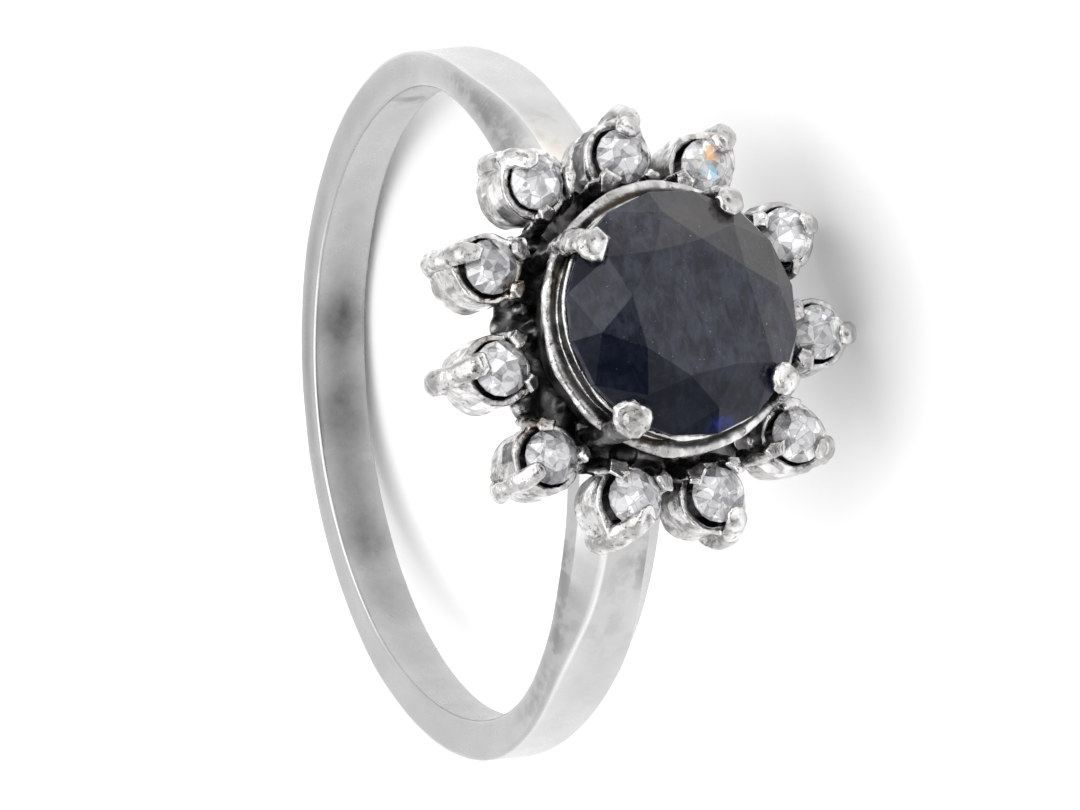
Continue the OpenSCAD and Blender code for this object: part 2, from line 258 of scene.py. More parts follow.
# Brown and golden tarnish: petal, direction and distance from its stone, spread, strength.
# A minus sign makes it golden.
BROWNS = [
    (8, 124, 1.0, 0.40, 1.0),
    (9, 100, 0.85, 0.30, 0.6),
    (9, -30, 0.85, 0.25, 0.5),
    (10, -42, 0.85, 0.32, -1.3),
    (10, -100, 1.1, 0.35, 0.5),
    (2, 75, 0.95, 0.30, -0.5),
    (5, -45, 1.1, 0.35, 0.3),
]
# Patches on the band: angle from the head towards +Y, its spread, the face where it lies,
# the place across that face and the strength. Across the near side, 0 is the bore and 1 the
# ridge. Across the others, 1 is the near edge and -1 the far one.
BORE, OUTER, NEAR, FAR = range(4)
STAINS = [
    (-38, 7, NEAR, 0.15, 1.0),
    (-50, 8, NEAR, 0.45, 0.9),
    (-63, 10, NEAR, 0.55, 0.7),
    (-76, 8, NEAR, 0.5, 0.35),
    (62, 7, NEAR, 0.6, 0.6),
    (50, 7, NEAR, 0.55, 1.0),
    (38, 8, NEAR, 0.6, 0.8),
    (-36, 5, OUTER, -0.8, 1.0),
    (-48, 12, OUTER, 0.0, 0.3),
    (38, 7, OUTER, 0.1, 0.5),
    (97, 4, BORE, 0.0, 0.9),
]
# Painted shade: soft darkening of the band, mostly dark reflections, on the bore, the near side and
# the outer face
PAINTED_SHADES = [
    (140, 14, BORE, 0, 0.10),
    (-108, 24, BORE, 0, 0.04),
    (155, 7, BORE, 0, 0.56),
    (172, 8, BORE, 0, 0.47),
    (-173, 8, BORE, 0, 0.26),
    (-164, 5, BORE, 0, 0.34),
    (-152, 9, BORE, 0, 0.22),
    (180, 75, BORE, 0, 0.28),
    (45, 20, NEAR, 0.5, 0.22),
    (95, 30, NEAR, 0.5, 0.18),
    (-60, 24, NEAR, 0.4, 0.20),
    (160, 30, NEAR, 0.5, 0.46),
    (-50, 40, OUTER, 0, 0.12),
]
CREAM = [(31, 6, OUTER, 0.6, 0.8)]
# How wide each patch is across its face
PATCH_WIDTHS = {NEAR: 0.35, OUTER: 0.75, BORE: 1.15}
# Angles between which no patch lies on the near bevel
CLEAN_BEVEL = (-41, -5)

# The centre stone, whose facets carry painted reflections
SIDES_OF_CUT = 8
# How far out the kites end between table and girdle, and the lower facets' own ring of
# corners between tip and girdle, as shares; then the width of the worn edges
KITE_REACH = 0.53
PAVILION_RING = 0.3
WORN_EDGE = 0.012
# The painted reflection tones of the table and the girdle, and the angle towards which the facets
# painted pale look
TABLE_TONE = 0.35
GIRDLE_TONE = 0.2
PALE_WAY = 55
# Where a painted glow of light through the stone shows its blue
GLOW_R = 3.05
GLOW_WAY = -80
# Facets of the crown that mirror nothing bright, by kind and table corner, with the share
# of their tone that is left
DARK_FACETS = {("right", 3): 0.28, ("kite", 4): 0.45, ("right", 4): 0.25, ("left", 6): 0.2}

# The small stones, whose facets carry painted reflections
SIDE_TABLE = 0.6
# The small stone whose table shows a star, and the tones of the other tables and of that one
STARRY = 9
TABLE_TONES = ((0.5, 0.6, 0.7), (0.2, 0.6, 1.0))
# How much paler each small stone is than the others
STONE_TONES = (0, 0, 0.24, 0.16, 0.1, 0.06, 0.08, -0.2, -0.02, -0.16, 0.06)
# The small stone that splits the light: the colours of its two sparks, and their places
# beside its middle
FIERY = 2
SPARKS = [((1.0, 0.56, 0.24, 1), 0.22, 0.05), ((0.38, 0.74, 0.95, 1), -0.17, 0.12)]

# The stage: the camera and the tent's opening in the ring's own frame, and the floor and the
# top light in the row frame, in metres
CAMERA_PLACE = Vector((394.26, -51.25, 182.66))
CAMERA_AIM = Vector((0.742, -0.375, -1.631))
CAMERA_ROLL = -8.7
LENS_MM = 533.3
SENSOR_MM = 36.0
FLOOR_SIZE = 3.0
TOP_PLACE = Vector((0.1, 0.2, 0.9))
TOP_SIZE = 1.6
TOP_POWER = 10.0
TENT_LIGHT = 1.0
OPENING_LIGHT = 0.03
OPENING_WAY = Vector((390.0, -90.0, 230.0))
OPENING_ANGLE = 11
OPENING_SOFT = 16


# Shapes, as lists of points and faces

def polar(h, r, angle, y=0.0, z=0.0):
    """A point at a height on the head's axis, or on one beside it, in the ring's own frame."""
    a = radians(angle)
    return Vector((h, y + r * sin(a), z - r * cos(a)))


def bezier(ends):
    """A curve led by four points, from the first to the last."""
    points = []
    for t in ALONG:
        u = 1 - t
        weights = (u ** 3, 3 * u * u * t, 3 * u * t * t, t ** 3)
        points.append(sum((w * p for w, p in zip(weights, ends)), Vector()))
    return points


def tube(rings, n, closed=False):
    """The faces between rings of n points, also from the last ring to the first if closed."""
    faces = []
    for i in range(rings if closed else rings - 1):
        for j in range(n):
            a, b = i * n + j, i * n + (j + 1) % n
            faces.append((a, b, (b + n) % (rings * n), (a + n) % (rings * n)))
    return faces


def capped(rings, n):
    """The faces of a tube and of its two ends."""
    return tube(rings, n) + [tuple(reversed(range(n))), tuple(range((rings - 1) * n, rings * n))]


def turned_over(faces):
    return [(a, c, d, b) for a, b, d, c in faces]


def swept(path, half_t, half_w, across, sides=16):
    """A closed wire along a path, with a half thickness and a half width at each point."""
    points = []
    n = len(path)
    for i, middle in enumerate(path):
        along = (path[min(i + 1, n - 1)] - path[max(i - 1, 0)]).normalized()
        out = along.cross(across).normalized()
        side = out.cross(along)
        for j in range(sides):
            a = 2 * pi * j / sides
            points.append(middle + half_t[i] * cos(a) * out + half_w[i] * sin(a) * side)
    return points, capped(n, sides)


def turned(profile, steps):
    """A closed profile of radius and height, turned about the head's axis."""
    points = [polar(h, r, 360 * i / steps) for i in range(steps) for r, h in profile]
    return points, tube(steps, len(profile), True)


def ellipse(r, h, half_w, half_h, step):
    """A closed profile round a radius and a height, with a point at each step in degrees."""
    turns = [radians(a) for a in range(0, 360, step)]
    return [(r + half_w * cos(a), h + half_h * sin(a)) for a in turns]


def tilted(turn, lean):
    """The rotation that leans a lump towards the head's axis and turns it round that axis."""
    return Matrix.Rotation(radians(turn), 3, "X") @ Matrix.Rotation(radians(lean), 3, "Y")


def ball(middle, radii, turn=0.0, lean=0.0, segments=16):
    """A rounded lump, its radii along the head's axis, away from it and round it."""
    spin = tilted(turn, lean)
    points = []
    rings = segments // 2
    for i in range(1, rings):
        for j in range(segments):
            p, q = pi * i / rings, 2 * pi * j / segments
            local = Vector((radii[0] * cos(p), radii[2] * sin(p) * sin(q),
                            -radii[1] * sin(p) * cos(q)))
            points.append(middle + spin @ local)
    return points, capped(rings - 1, segments)


def pad(middle, out_r, round_r, t, turn, lean, n=10, uneven=0.09):
    """A flat pad with uneven corners, pressed down like the end of a claw: its radii away
    from the head's axis and round it."""
    spin = tilted(turn, lean)
    start = uniform(0, 360 / n)
    corners = []
    for k in range(n):
        a = radians(start + 360 * (k + uniform(-0.25, 0.25)) / n)
        far = 0.99 + uniform(-uneven, uneven)
        corners.append((-out_r * far * cos(a), round_r * far * sin(a)))
    points = []
    for h, share in ((-t, 0.8), (0, 1.0), (t, 0.82)):
        points += [middle + spin @ Vector((h, share * y, share * z)) for z, y in corners]
    ends = [tuple(range(n)), tuple(2 * n + k for k in reversed(range(n)))]
    return points, ends + turned_over(tube(3, n))


def joined(parts):
    points, faces = [], []
    for more_points, more_faces in parts:
        start = len(points)
        points += more_points
        faces += [tuple(start + i for i in face) for face in more_faces]
    return points, faces


def rounded(corners, radii, steps=4):
    """A closed outline with its corners turned into arcs."""
    outline = []
    n = len(corners)
    for i, (corner, r) in enumerate(zip(corners, radii)):
        here = Vector(corner)
        before = (Vector(corners[i - 1]) - here).normalized()
        after = (Vector(corners[(i + 1) % n]) - here).normalized()
        half = before.angle(after) / 2
        reach = r / tan(half)
        centre = here + (before + after).normalized() * (r / sin(half))
        start = here + before * reach - centre
        end = here + after * reach - centre
        for k in range(steps + 1):
            t = k / steps
            spoke = start.lerp(end, t).normalized() * r
            outline.append(tuple(centre + spoke))
    return outline


# Pieces

made = []


def placed(name, data):
    """A new object in the scene."""
    obj = bpy.data.objects.new(name, data)
    bpy.context.scene.collection.objects.link(obj)
    return obj


def mesh_object(name, points, faces):
    mesh = bpy.data.meshes.new(name)
    mesh.from_pydata([tuple(p) for p in points], [], faces)
    mesh.validate()
    return placed(name, mesh)


def applied(obj):
    """Turns what the modifiers make into the object's own mesh."""
    seen = obj.evaluated_get(bpy.context.evaluated_depsgraph_get())
    mesh = bpy.data.meshes.new_from_object(seen)
    old = obj.data
    obj.modifiers.clear()
    obj.data = mesh
    bpy.data.meshes.remove(old)
    mesh.name = obj.name


def modify(obj, name, kind, **settings):
    modifier = obj.modifiers.new(name, kind)
    for key, value in settings.items():
        setattr(modifier, key, value)


def melted(obj, voxel, smoothing, kept):
    """Runs overlapping closed shapes into one skin, as solder does."""
    modify(obj, "melt", "REMESH", mode="VOXEL", voxel_size=voxel)
    modify(obj, "soften", "SMOOTH", factor=0.5, iterations=smoothing)
    if kept < 1:
        modify(obj, "thin out", "DECIMATE", ratio=kept)
    applied(obj)


def roughened(obj, waves, origin=(0, 0, 0)):
    """Moves the skin in and out by the waves of a kind of piece."""
    co, normals = own_points(obj), own_normals(obj)
    shift = np.zeros(len(co))
    for amount, size in waves:
        places = co / size + np.array(origin)
        shift += amount * np.array([noise.noise(Vector(p)) for p in places])
    moved(obj, co + normals * shift[:, None])


def cast(name, parts, kind, origin):
    """Runs the parts of a piece into one skin and roughens it as is usual for its kind."""
    obj = mesh_object(name, *joined(parts))
    melted(obj, *MELTS[kind])
    roughened(obj, WAVES[kind], origin)
    return obj


def store(obj, name, values, domain="POINT"):
    """Keeps a number or a place for each point or face of a piece, for its material to read."""
    values = np.asarray(values, np.float32)
    kind, field = ("FLOAT_VECTOR", "vector") if values.ndim == 2 else ("FLOAT", "value")
    obj.data.attributes.new(name, kind, domain).data.foreach_set(field, values.ravel())


def step_up(values, low, high):
    """A soft step from 0 to 1 between two values."""
    t = np.clip((values - low) / (high - low), 0, 1)
    return t * t * (3 - 2 * t)


def step_down(values, low, high):
    """A soft step from 1 to 0 between two values."""
    return 1 - step_up(values, low, high)


def triples(group, field):
    values = np.zeros(len(group) * 3)
    group.foreach_get(field, values)
    return values.reshape(-1, 3)


def own_points(obj):
    return triples(obj.data.vertices, "co")


def own_normals(obj):
    return triples(obj.data.vertex_normals, "vector")


def moved(obj, points):
    obj.data.vertices.foreach_set("co", points.ravel())
    obj.data.update()


def bend(obj, rounds=2):
    """How far each part of the skin is hollow, or with a minus sign how far it stands out."""
    mesh = obj.data
    edges = np.zeros(len(mesh.edges) * 2, int)
    mesh.edges.foreach_get("vertices", edges)
    a, b = edges.reshape(-1, 2).T
    co = own_points(obj)
    count = np.maximum(np.bincount(a, minlength=len(co)) + np.bincount(b, minlength=len(co)), 1)

    def spread(values):
        total = np.zeros_like(values)
        np.add.at(total, a, values[b])
        np.add.at(total, b, values[a])
        return total / (count if values.ndim == 1 else count[:, None])

    size = np.linalg.norm(co[a] - co[b], axis=1).mean()
    hollow = ((spread(co) - co) * own_normals(obj)).sum(1) / size
    for _ in range(rounds):
        hollow = (hollow + spread(hollow)) / 2
    return hollow


def finished(obj, material, replaced=(METAL_NODE,), smooth=True):
    """Keeps a piece for the shading pass and hides the imported solids that it replaces."""
    obj.data.materials.append(material)
    for polygon in obj.data.polygons:
        polygon.use_smooth = smooth
    if "place" not in obj.data.attributes:
        store(obj, "place", own_points(obj))
    store(obj, "bend", bend(obj))
    made.append(obj)
    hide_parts(*replaced)


def shares(angle):
    """The shares of BAND at an angle from the head, along smooth curves through its rows."""
    xs, ys = BAND[:, 0], BAND[:, 1:]
    slopes = np.zeros_like(ys)
    slopes[1:-1] = (ys[2:] - ys[:-2]) / (xs[2:] - xs[:-2])[:, None]
    i = int(np.clip(np.searchsorted(xs, angle, side="right") - 1, 0, len(xs) - 2))
    span = xs[i + 1] - xs[i]
    t = (angle - xs[i]) / span
    u = 1 - t
    return (ys[i] * (1 + 2 * t) * u * u + ys[i + 1] * (1 + 2 * u) * t * t
            + slopes[i] * span * t * u * u - slopes[i + 1] * span * u * t * t)


def patches(table, angle, face, across):
    """The strength that a table of patches gives at a place on one face of the band."""
    total = 0.0
    for at, spread, where, middle, strength in table:
        if where == face:
            off = ((angle - at + 180) % 360 - 180) / spread
            aside = (across - middle) / PATCH_WIDTHS[face]
            total += strength * exp(-off ** 2 - aside ** 2)
    return min(total, 1.0)


def build_band(material):
    steps = 288
    points, places, marks = [], [], []
    for k in range(steps):
        angle = 360 * k / steps - 180
        a = radians(angle)
        off = abs(angle)
        t_share, w_share, bevel_t, bevel_w, out_w = shares(off)
        thick = BAND_T * t_share
        w = (BAND_W + (SHOULDER_W - BAND_W) * w_share) / 2
        r_bevel = HOLE_R + thick * bevel_t
        r_out = HOLE_R + thick
        w_bevel, w_out = w * bevel_w, w * out_w
        corners = [(HOLE_R, -w), (r_bevel, -w_bevel), (r_out, -w_out),
                   (r_out, w_out), (r_bevel, w_bevel), (HOLE_R, w)]
        for r, z in spaced(rounded(corners, SECTION_EDGES)):
            points.append((r * cos(a), r * sin(a), z))
            places.append((HOLE_R * a, z, r))
            on_bevel = r > r_bevel + 0.01 and CLEAN_BEVEL[0] < angle < CLEAN_BEVEL[1]
            if r < HOLE_R + 0.02:
                face = BORE
            elif r > r_out - 0.01:
                face = OUTER
            else:
                face = NEAR if z > 0 and not on_bevel else FAR
            across = (r - HOLE_R) / thick if face == NEAR else z / w
            to_ridge = hypot(r - r_out, z - w_out)
            # The ridge is worn bright and also painted with a highlight where its rounding meets the
            # outer face
            ridge_w, bright = RIDGES[1 if angle > 0 else -1]
            worn = bright * step_up(off, *RIDGE_FROM) * step_down(off, *RIDGE_TO)
            ridge = worn * exp(-(to_ridge / ridge_w) ** 2)
            spots = [patches(table, angle, face, across) for table in (STAINS, PAINTED_SHADES, CREAM)]
            marks.append(spots + [ridge])
    faces = turned_over(tube(steps, len(points) // steps, True))
    obj = mesh_object("band", points, faces)
    store(obj, "place", places)
    for name, values in zip(("stain", "painted_shading", "cream", "ridge"), zip(*marks)):
        store(obj, name, values)
    roughened(obj, WAVES["band"])
    keep_hole_open(obj)
    finished(obj, material)


def spaced(outline):
    """The outline of the band's section with points along its straight sides too."""
    arc = len(outline) // len(SECTION_STEPS)
    points = []
    for i, steps in enumerate(SECTION_STEPS, 1):
        points += outline[(i - 1) * arc:i * arc]
        a, b = Vector(outline[i * arc - 1]), Vector(outline[i * arc % len(outline)])
        points += [tuple(a.lerp(b, k / steps)) for k in range(1, steps)]
    return points


def keep_hole_open(obj):
    """Nothing may stand in the finger hole."""
    co = own_points(obj)
    r = np.hypot(co[:, 0], co[:, 1])
    co[:, :2] *= np.maximum(HOLE_R / r, 1)[:, None]
    moved(obj, co)


def build_collet(material):
    top = GIRDLE_H - CENTRE_GIRDLE / 2 - EDGE_DROP
    foot_h = HOLE_R + BAND_T / 2
    inner = CENTRE.r - COLLET_WALL * 0.6
    wall = rounded(
        [(FOOT_R - COLLET_WALL, foot_h), (FOOT_R, foot_h),
         (FOOT_R + FOOT_FLARE, CUP_FOOT_H + GALLERY_T / 2), (COLLET_R, RIM_H - 3 * RIM_WIRE_R),
         (COLLET_R, RIM_H), (CENTRE.r - GROOVE, RIM_H + GROOVE), (CENTRE.r - GROOVE, top - 2 * LIP_R),
         (CENTRE.r, top - LIP_R), (CENTRE.r, top), (inner, top), (FOOT_R - COLLET_WALL, CUP_FOOT_H)],
        [0.05, 0.05, 0.3, 0.05, 0.03, 0.03, 0.03, 0.03, 0.03, 0.02, 0.3], 3)
    wire = ellipse(COLLET_R, RIM_H, RIM_WIRE_R * 1.2, RIM_WIRE_R, 24)
    parts = [turned(wall, 120), turned(wire, 120)]
    for turn, r, size in SOLDER:
        parts.append(ball(polar(RIM_H, r, turn), (size, size * 0.7, size * 1.2), turn))
    obj = mesh_object("collet", *joined(parts))
    melted(obj, *MELTS["collet"])
    co = own_points(obj)
    h, r = co[:, 0], np.hypot(co[:, 1], co[:, 2])
    wire_top, lip = RIM_H + RIM_WIRE_R, top - LIP_R
    # Tarnish and painted shade darken the groove inside the wire and the metal under it; the lip gets
    # patches of tarnish
    groove = 0.8 * step_up(h, wire_top - RIM_WIRE_R * 0.5, wire_top) * step_down(h, lip - LIP_R, lip)
    below = step_down(h, RIM_H - RIM_WIRE_R * 2, RIM_H - RIM_WIRE_R)
    worn_off = np.array([noise.noise(Vector(p) * 0.8) for p in co])
    way = np.degrees(np.arctan2(co[:, 1], -co[:, 2]))
    # A painted highlight keeps the lip bright at one side
    lip_highlight = np.exp(-((way - LIP_HIGHLIGHT[0]) / LIP_HIGHLIGHT[1]) ** 2)
    on_lip = 0.75 * step_up(h, lip - LIP_R, lip) * (1 - lip_highlight) * step_up(worn_off, -0.3, 0.1)
    # A painted highlight along the wire's top
    at_wire_top = np.exp(-((h - wire_top) / RIM_WIRE_R) ** 2)
    wire_highlight = 0.35 * at_wire_top * step_up(r, COLLET_R - 0.05, COLLET_R + 0.1)
    store(obj, "deep", np.maximum.reduce([groove, below, on_lip]) - wire_highlight)
    golden = step_up(groove, 0.5, 0.8) * step_up(worn_off, 0.1, 0.35)
    store(obj, "brown", -0.35 * golden * step_down(r, COLLET_R - 0.1, COLLET_R))
    roughened(obj, WAVES["collet"], (3, 1, 4))
    finished(obj, material)


def build_gallery(material):
    """The plate that carries the petals, with their arms and the solder that ran round them."""
    edge_r = PETAL_RING_R - CUP_R - GALLERY_GAP
    low = CUP_FOOT_H + GALLERY_T / 4
    parts = [turned([(FOOT_R, low), (edge_r, low), (edge_r, low + GALLERY_T),
                     (FOOT_R, low + GALLERY_T)], 72)]
    parts.append(turned(ellipse(edge_r + 0.1, low + GALLERY_T * 0.6, BEAD_R, BEAD_R, 45), 72))
    for stone, web in zip(SIDES, WEBS):
        angle = petal_angle(stone)
        ring_r = hypot(stone.y, stone.z)
        arm_h = CUP_FOOT_H + ARM_LIFT + ARM_R
        inner, outer = FOOT_R, ring_r - stone.r - CUP_GAP - CUP_WALL / 2
        path = [polar(arm_h, inner + (outer - inner) * t, angle) for t in (0, 0.5, 1)]
        parts.append(swept(path, [ARM_R] * 3, [ARM_R] * 3, Vector((1, 0, 0))))
        for _ in range(LUMPS):
            at = polar(arm_h + uniform(0.0, LUMP_RISE), uniform(*LUMP_REACH),
                       angle + uniform(-LUMP_STRAY, LUMP_STRAY))
            size = uniform(*LUMP_SIZES)
            parts.append(ball(at, (size, size, size * 0.8), angle))
        half_way = angle - 180 / len(SIDES)
        for r in np.arange(edge_r, edge_r + web, 0.25):
            at = polar(arm_h + 0.1, r, half_way + uniform(-2, 2))
            parts.append(ball(at, WEB_RADII, half_way))
    obj = cast("gallery", parts, "gallery", (5, 9, 2))
    r = np.hypot(own_points(obj)[:, 1], own_points(obj)[:, 2])
    # Darker towards the collet: tarnish and painted shade in the recess
    store(obj, "deep", 0.42 + 0.53 * step_down(r, edge_r, edge_r + 0.5))
    finished(obj, material)


def build_claw(i, angle, material):
    shift, pad_r = CLAW_PADS[i - 1]
    ends = [polar(CUP_FOOT_H + CUP_DEPTH / 2, CENTRE.r, angle),
            polar(RIM_H - CLAW_HALF_W, COLLET_R + RIM_WIRE_R, angle),
            polar(GIRDLE_H + CENTRE_CROWN - shift, COLLET_R + CLAW_HALF_T, angle),
            polar(GIRDLE_H + CLAW_RISE - shift * 0.45, CENTRE.r - CLAW_REACH + shift, angle)]
    path = bezier(ends)
    wide = [CLAW_HALF_W * (CLAW_FOOT_SHARE + CLAW_WIDENS * t ** 2) for t in ALONG]
    parts = [swept(path, [CLAW_HALF_T * 0.9] * len(path), wide, polar(0, 1, angle + 90)),
             pad(path[-2].lerp(path[-1], 0.4), pad_r * 0.92, pad_r * 1.1, PAD_T, angle, PAD_LEAN)]
    obj = cast(f"claw_{i}", parts, "claw", (i * 3.7, 2, 8))
    below = GIRDLE_H - own_points(obj)[:, 0]
    dark_from, dark = CLAW_DARK[i - 1]
    store(obj, "deep", dark * step_up(below, dark_from, dark_from + 0.5))
    finished(obj, material)


def petal_angle(stone):
    return degrees(atan2(stone.y, -stone.z))


def teardrop(stone, angle, tip_r, levels, steps=72):
    """A closed skin round a stone, drawn out to a tip: levels holds each height, the radius
    of its round side and the share of the way out to the tip that its point reaches."""
    points = []
    for k in range(steps):
        off = 360 * k / steps - 180
        for h, r, share in levels:
            far = r + (tip_r - CUP_R) * share
            touch = degrees(acos(min(1.0, r / far)))
            out = r if abs(off) >= touch else r / cos(radians(touch - abs(off)))
            out = min(out, far - 0.04 * share)
            points.append(polar(h, out, angle + off, stone.y, stone.z))
    return points, tube(steps, len(levels), True)


def build_petal(i, stone, row, material):
    reach_share, tip_turn, head_turn, head_share, prow, rim_drop, lean_in, thick = row
    angle = petal_angle(stone)
    girdle = girdle_of(stone)
    inner_r = stone.r + CUP_GAP

    def at(h, r, turn):
        return polar(girdle + h, r, angle + turn, stone.y, stone.z)

    foot, rim = girdle - CUP_DEPTH, girdle - rim_drop
    reach = TIP_REACH * reach_share - PETAL_CLAW_R
    near = reach - lean_in
    levels = [(foot, CUP_R * 0.96, 0.2 * prow), ((foot + rim) / 2, CUP_R, 0.7 * prow),
              (rim - 0.05, CUP_R, prow), (rim, CUP_R - 0.05, prow),
              (rim, CUP_R - RIM_T, prow * 0.3), (rim - 0.5, inner_r, prow * 0.2),
              (foot + 0.2, CUP_HOLE_R, 0)]
    parts = [teardrop(stone, angle + tip_turn, near + 0.1, levels),
             ball(at(0.35 - CUP_DEPTH, 0, 0), (0.1, CUP_HOLE_R + 0.1, CUP_HOLE_R + 0.1))]
    ends = [at(ARM_LIFT - CUP_DEPTH, CUP_R * 0.7, tip_turn * 0.5),
            at(-TIP_DROP * 1.35, reach * 1.3, tip_turn),
            at(-TIP_DROP * 0.1, near, tip_turn),
            at(SIDE_CROWN + PETAL_CLAW_RISE, stone.r * head_share * 0.85, head_turn)]
    path = bezier(ends)
    swell = [thick * (1 - 0.3 * (2 * t - 1) ** 6) for t in ALONG]
    across = polar(0, 1, angle + tip_turn + 90)
    radii = [thick * r for r in HEAD_RADII]
    parts += [swept(path, [PETAL_CLAW_R * 0.92 * s for s in swell],
                    [PETAL_CLAW_R * PETAL_CLAW_FLAT * s for s in swell], across),
              ball(path[-2], radii, angle + head_turn, PETAL_PAD_LEAN, 10),
              pad(path[-2].lerp(path[-1], 0.5), radii[1] * 1.15, radii[2], PETAL_PAD_T,
                  angle + head_turn, PETAL_PAD_LEAN)]
    for turn, out_r, round_r in INNER_CLAWS[i - 1]:
        across = polar(0, 1, angle + turn + 90)
        low = at(-CUP_DEPTH * 0.62, inner_r + 0.42, turn * 1.05)
        high = at(SIDE_CROWN * 0.3, inner_r + out_r * 0.5, turn)
        path = [low.lerp(high, t) for t in (0, 0.4, 0.8, 1)]
        parts.append(swept(path, [INNER_CLAW_R * t for t in (0.9, 0.9, 0.9, 0.8)],
                           [round_r * t for t in (1.0, 1.0, 0.95, 0.85)], across, 12))
        middle = at(SIDE_CROWN * 0.75, inner_r + out_r * 0.35, turn)
        parts.append(pad(middle, out_r, round_r, INNER_PAD_T, angle + turn, INNER_PAD_LEAN, 5, 0.16))
    obj = cast(f"petal_{i:02d}", parts, "petal", (i * 5.3, 7, i))
    co = own_points(obj)
    h, y, z = co.T
    inward = PETAL_RING_R - np.hypot(y, z)
    low = (rim - h) / CUP_DEPTH
    beside = np.hypot(y - stone.y, z - stone.z)
    # Tarnish and painted shade: dark inside each cup under its rim, on the side towards the head's
    # axis and low down, and on the claws' inner tops near the girdle
    well = step_down(beside, CUP_R - RIM_T * 1.6, CUP_R - RIM_T * 0.8) * step_down(h, rim - 0.12, rim)
    inner_side = step_up(inward * 0.6 + low * 1.1, 0.42, 1.1)
    top_of_claws = 0.35 * step_up(inward, 0.1, 0.5) * step_up(h, girdle - 0.2, girdle)
    store(obj, "deep", np.maximum.reduce([inner_side, well, top_of_claws]))
    brown = np.zeros(len(co))
    for petal, way, far, spread, strength in BROWNS:
        if petal == i:
            off = np.linalg.norm(co - np.array(polar(girdle, far, way, stone.y, stone.z)), axis=1)
            brown += strength * np.exp(-(off / spread) ** 2)
    store(obj, "brown", brown)
    finished(obj, material)


def ring(radius, h, count, start, y=0.0, z=0.0):
    """Corners of a stone, evenly spaced round its axis."""
    return [polar(h, radius, start + 360 * k / count, y, z) for k in range(count)]


def outward(points, faces):
    """Turns each face of a stone so that it looks away from the stone's middle."""
    middle = sum(points, Vector()) / len(points)
    turned_faces = []
    for face in faces:
        a, b, c = (points[i] for i in face[:3])
        away = (b - a).cross(c - b).dot(a - middle) > 0
        turned_faces.append(face if away else tuple(reversed(face)))
    return turned_faces


def build_sapphire(material):
    """A brilliant cut, as in the part, with each facet's tone of painted reflection kept on it."""
    n, r, tr = SIDES_OF_CUT, CENTRE.r, CENTRE_TABLE_R
    flat = cos(pi / n)
    mid_r = ((1 - KITE_REACH) * tr + KITE_REACH * r) / cos(radians(90 / n))
    mid_h = CENTRE.top - CENTRE_CROWN * (mid_r * flat - tr) / (r - tr)
    low_r = PAVILION_RING * r / flat
    half_girdle = CENTRE_GIRDLE / 2
    pavilion = GIRDLE_H - half_girdle - CENTRE.low
    low_h = GIRDLE_H - half_girdle - pavilion * (1 - low_r * flat / r)
    start, half_way = STONE_TURN, STONE_TURN + 180 / n
    points = (ring(tr, CENTRE.top, n, start) + ring(mid_r, mid_h, n, half_way)
              + ring(r, GIRDLE_H + half_girdle, 2 * n, start)
              + ring(r, GIRDLE_H - half_girdle, 2 * n, start)
              + ring(low_r, low_h, n, half_way) + [Vector((CENTRE.low, 0, 0))])
    m, u, v, w, tip = n, 2 * n, 4 * n, 6 * n, 7 * n
    faces, tones = [tuple(range(n))], [TABLE_TONE]
    for k in range(n):
        k1, e, o, e1 = (k + 1) % n, 2 * k, 2 * k + 1, (2 * k + 2) % (2 * n)
        star, kite, left, right = crown_tones(k)
        faces += [(k, k1, m + k), (k1, m + k, u + e1, m + k1),
                  (m + k, u + e, u + o), (m + k, u + o, u + e1)]
        tones += [star, kite, left, right]
        faces += [(u + e, u + o, v + o, v + e), (u + o, u + e1, v + e1, v + o),
                  (v + e, v + o, w + k), (v + o, v + e1, w + k),
                  (w + k, v + e1, w + k1, tip)]
        tones += [GIRDLE_TONE] * 5
    obj = mesh_object("sapphire", points, outward(points, faces))
    store(obj, "tone", tones, "FACE")
    modify(obj, "worn edges", "BEVEL", width=WORN_EDGE, segments=1, limit_method="ANGLE",
           angle_limit=radians(4))
    applied(obj)
    finished(obj, material, ["centre_stone"], smooth=False)


def crown_tones(k):
    """Star, kite, left half and right half beside a table corner, as painted reflections: facets that
    look up and to the right are painted pale, those that look down and to the left dark, and a few
    black."""
    tones = []
    for kind, at in (("star", 22.5), ("kite", 45), ("left", 11), ("right", 34)):
        way = radians(STONE_TURN + 45 * k + at - PALE_WAY)
        steep = 0.7 if kind == "star" else 1.0
        tone = TABLE_TONE + steep * (0.22 * cos(way) + uniform(-0.03, 0.03))
        tones.append(tone * DARK_FACETS.get((kind, k), 1.0))
    return tones


